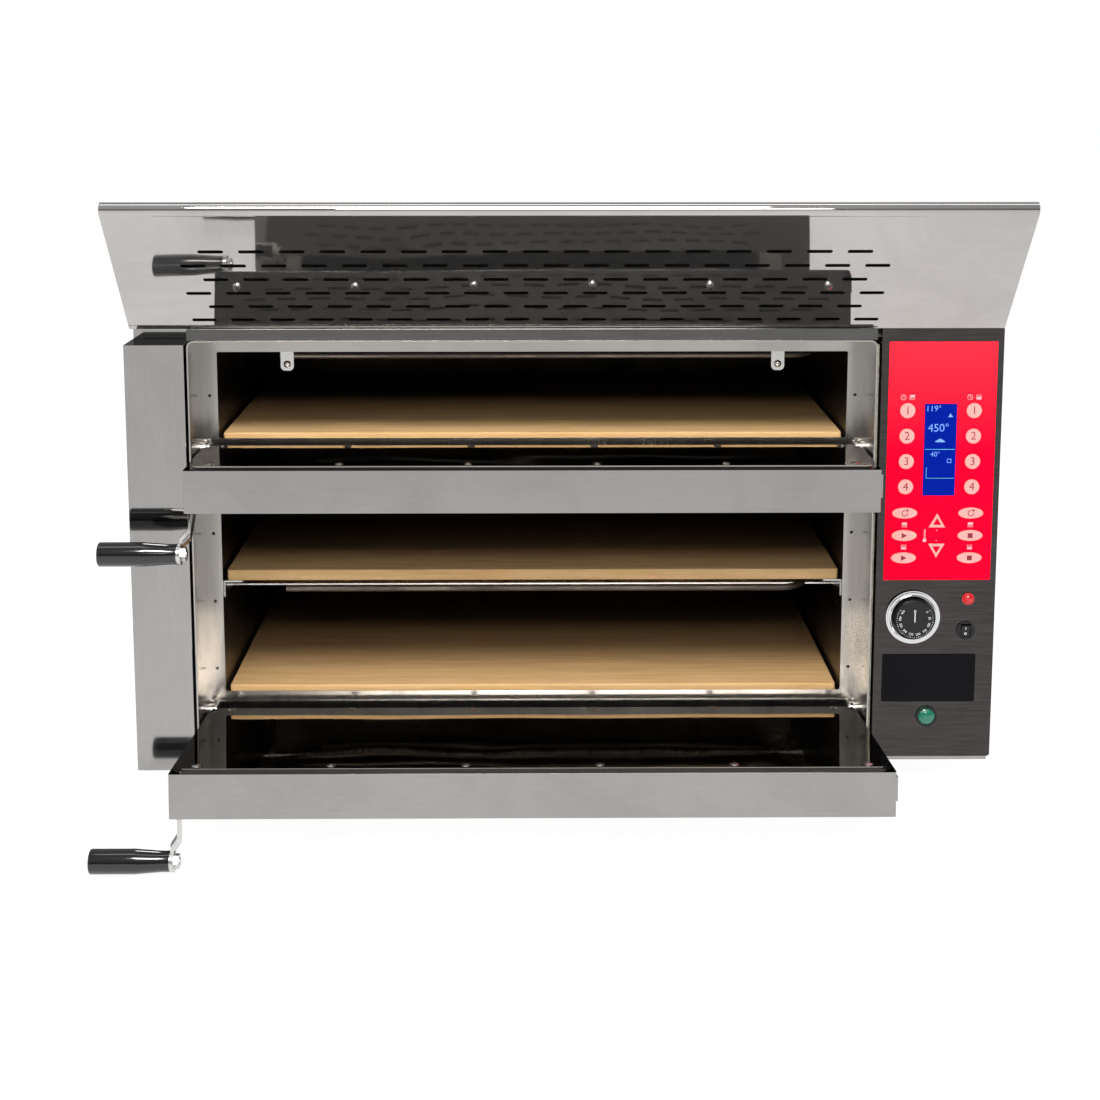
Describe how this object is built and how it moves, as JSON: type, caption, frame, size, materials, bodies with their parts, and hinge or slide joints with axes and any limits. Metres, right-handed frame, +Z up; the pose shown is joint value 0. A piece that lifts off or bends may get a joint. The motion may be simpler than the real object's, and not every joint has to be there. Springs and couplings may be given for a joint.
{
  "type": "two-deck countertop pizza oven",
  "caption": "Countertop electric deck oven with two drop-down doors standing open, baking stones inside, a slotted mirror visor on top and a control box on the right.",
  "frame": {"origin": "centre of the overall outline in X and Y with the doors open, at the underside of the feet", "axes": "+X to the right seen from the front, +Y from the front into the oven, +Z up"},
  "size_m": [0.921, 0.6686, 0.6521],
  "materials": {
    "casing_steel": "satin",
    "mouth_steel": "satin",
    "mirror_steel": "polished",
    "liner_steel": "satin",
    "mineral_wool": "matte",
    "baking_stone": "matte",
    "element_steel": "matte",
    "bright_steel": "gloss",
    "header_steel": "satin",
    "door_steel": "satin",
    "door_inner_steel": "gloss",
    "grip_black": "gloss",
    "foot_rubber": "matte",
    "fascia_dark": "satin",
    "keypad_red": "gloss",
    "lcd_blue": "gloss",
    "plate_black": "gloss",
    "baffle_dark": "matte",
    "thermostat_ceramic": "satin",
    "knob_black": "satin",
    "bezel_chrome": "polished",
    "rocker_black": "satin",
    "lamp_red": "gloss",
    "lamp_green": "gloss",
    "board_green": "satin",
    "gland_black": "matte",
    "key_cream": "satin"
  },
  "bodies": {
    "casing": {"feet": "foot_rubber", "base_pan": "casing_steel", "left_side_panel": "casing_steel", "right_side_panel": "casing_steel", "rear_panel": "casing_steel", "top_cover": "casing_steel", "mouth_frame": "mouth_steel", "header_rail": "header_steel", "visor": "mirror_steel", "upper_chamber_liner": "liner_steel", "lower_chamber_liner": "liner_steel", "chamber_wool": "mineral_wool", "upper_stone": "baking_stone", "middle_stone": "baking_stone", "lower_stone": "baking_stone", "chamber_brackets": "bright_steel", "heating_elements": "element_steel", "hinge_pins": "bright_steel", "control_fascia": "fascia_dark", "keypad_membrane": "keypad_red", "lcd_window": "lcd_blue", "visor_baffle": "baffle_dark", "thermostat_body": "thermostat_ceramic", "dial_bezel": "bezel_chrome", "rocker_frame": "rocker_black", "red_lamp": "lamp_red", "green_lamp": "lamp_green", "power_board": "board_green", "supply_gland": "gland_black", "casing_screws": "bright_steel"},
    "upper_door": {"upper_door_shell": "door_steel", "upper_door_panel": "door_inner_steel", "upper_door_wool": "mineral_wool", "upper_door_arm": "bright_steel", "upper_door_grip": "grip_black", "upper_door_fasteners": "bright_steel"},
    "lower_door": {"lower_door_shell": "door_steel", "lower_door_panel": "door_inner_steel", "lower_door_wool": "mineral_wool", "lower_door_arm": "bright_steel", "lower_door_grip": "grip_black", "lower_door_fasteners": "bright_steel"},
    "thermostat_dial": {"thermostat_knob": "knob_black"},
    "rocker": {"rocker_paddle": "rocker_black"},
    "key_upper_1_body": {"key_upper_1": "key_cream"},
    "key_upper_2_body": {"key_upper_2": "key_cream"},
    "key_upper_3_body": {"key_upper_3": "key_cream"},
    "key_upper_4_body": {"key_upper_4": "key_cream"},
    "key_lower_1_body": {"key_lower_1": "key_cream"},
    "key_lower_2_body": {"key_lower_2": "key_cream"},
    "key_lower_3_body": {"key_lower_3": "key_cream"},
    "key_lower_4_body": {"key_lower_4": "key_cream"},
    "key_reset_left_body": {"key_reset_left": "key_cream"},
    "key_start_upper_body": {"key_start_upper": "key_cream"},
    "key_start_lower_body": {"key_start_lower": "key_cream"},
    "key_reset_right_body": {"key_reset_right": "key_cream"},
    "key_stop_upper_body": {"key_stop_upper": "key_cream"},
    "key_stop_lower_body": {"key_stop_lower": "key_cream"},
    "key_up_body": {"key_up": "key_cream"},
    "key_down_body": {"key_down": "key_cream"}
  },
  "joints": [
    {"name": "upper_door_hinge", "type": "hinge", "parent": "casing", "child": "upper_door", "pos_m": [0, -0.09969, 0.3805], "axis": [-1, 0, 0], "range_deg": [0, 90]},
    {"name": "lower_door_hinge", "type": "hinge", "parent": "casing", "child": "lower_door", "pos_m": [0, -0.09969, 0.091], "axis": [-1, 0, 0], "range_deg": [0, 85.3]},
    {"name": "thermostat_turn", "type": "hinge", "parent": "casing", "child": "thermostat_dial", "pos_m": [0.37, -0.14369, 0.207], "axis": [0, 1, 0], "range_deg": [0, 300]},
    {"name": "rocker_tilt", "type": "hinge", "parent": "casing", "child": "rocker", "pos_m": [0.4265, -0.14169, 0.192], "axis": [-1, 0, 0], "range_deg": [0, 16]},
    {"name": "key_upper_1_press", "type": "slide", "parent": "casing", "child": "key_upper_1_body", "axis": [0, 1, 0], "range_m": [0, 0.0005], "stiffness_N_per_m": 2000},
    {"name": "key_upper_2_press", "type": "slide", "parent": "casing", "child": "key_upper_2_body", "axis": [0, 1, 0], "range_m": [0, 0.0005], "stiffness_N_per_m": 2000},
    {"name": "key_upper_3_press", "type": "slide", "parent": "casing", "child": "key_upper_3_body", "axis": [0, 1, 0], "range_m": [0, 0.0005], "stiffness_N_per_m": 2000},
    {"name": "key_upper_4_press", "type": "slide", "parent": "casing", "child": "key_upper_4_body", "axis": [0, 1, 0], "range_m": [0, 0.0005], "stiffness_N_per_m": 2000},
    {"name": "key_lower_1_press", "type": "slide", "parent": "casing", "child": "key_lower_1_body", "axis": [0, 1, 0], "range_m": [0, 0.0005], "stiffness_N_per_m": 2000},
    {"name": "key_lower_2_press", "type": "slide", "parent": "casing", "child": "key_lower_2_body", "axis": [0, 1, 0], "range_m": [0, 0.0005], "stiffness_N_per_m": 2000},
    {"name": "key_lower_3_press", "type": "slide", "parent": "casing", "child": "key_lower_3_body", "axis": [0, 1, 0], "range_m": [0, 0.0005], "stiffness_N_per_m": 2000},
    {"name": "key_lower_4_press", "type": "slide", "parent": "casing", "child": "key_lower_4_body", "axis": [0, 1, 0], "range_m": [0, 0.0005], "stiffness_N_per_m": 2000},
    {"name": "key_reset_left_press", "type": "slide", "parent": "casing", "child": "key_reset_left_body", "axis": [0, 1, 0], "range_m": [0, 0.0005], "stiffness_N_per_m": 2000},
    {"name": "key_start_upper_press", "type": "slide", "parent": "casing", "child": "key_start_upper_body", "axis": [0, 1, 0], "range_m": [0, 0.0005], "stiffness_N_per_m": 2000},
    {"name": "key_start_lower_press", "type": "slide", "parent": "casing", "child": "key_start_lower_body", "axis": [0, 1, 0], "range_m": [0, 0.0005], "stiffness_N_per_m": 2000},
    {"name": "key_reset_right_press", "type": "slide", "parent": "casing", "child": "key_reset_right_body", "axis": [0, 1, 0], "range_m": [0, 0.0005], "stiffness_N_per_m": 2000},
    {"name": "key_stop_upper_press", "type": "slide", "parent": "casing", "child": "key_stop_upper_body", "axis": [0, 1, 0], "range_m": [0, 0.0005], "stiffness_N_per_m": 2000},
    {"name": "key_stop_lower_press", "type": "slide", "parent": "casing", "child": "key_stop_lower_body", "axis": [0, 1, 0], "range_m": [0, 0.0005], "stiffness_N_per_m": 2000},
    {"name": "key_up_press", "type": "slide", "parent": "casing", "child": "key_up_body", "axis": [0, 1, 0], "range_m": [0, 0.0005], "stiffness_N_per_m": 2000},
    {"name": "key_down_press", "type": "slide", "parent": "casing", "child": "key_down_body", "axis": [0, 1, 0], "range_m": [0, 0.0005], "stiffness_N_per_m": 2000}
  ]
}
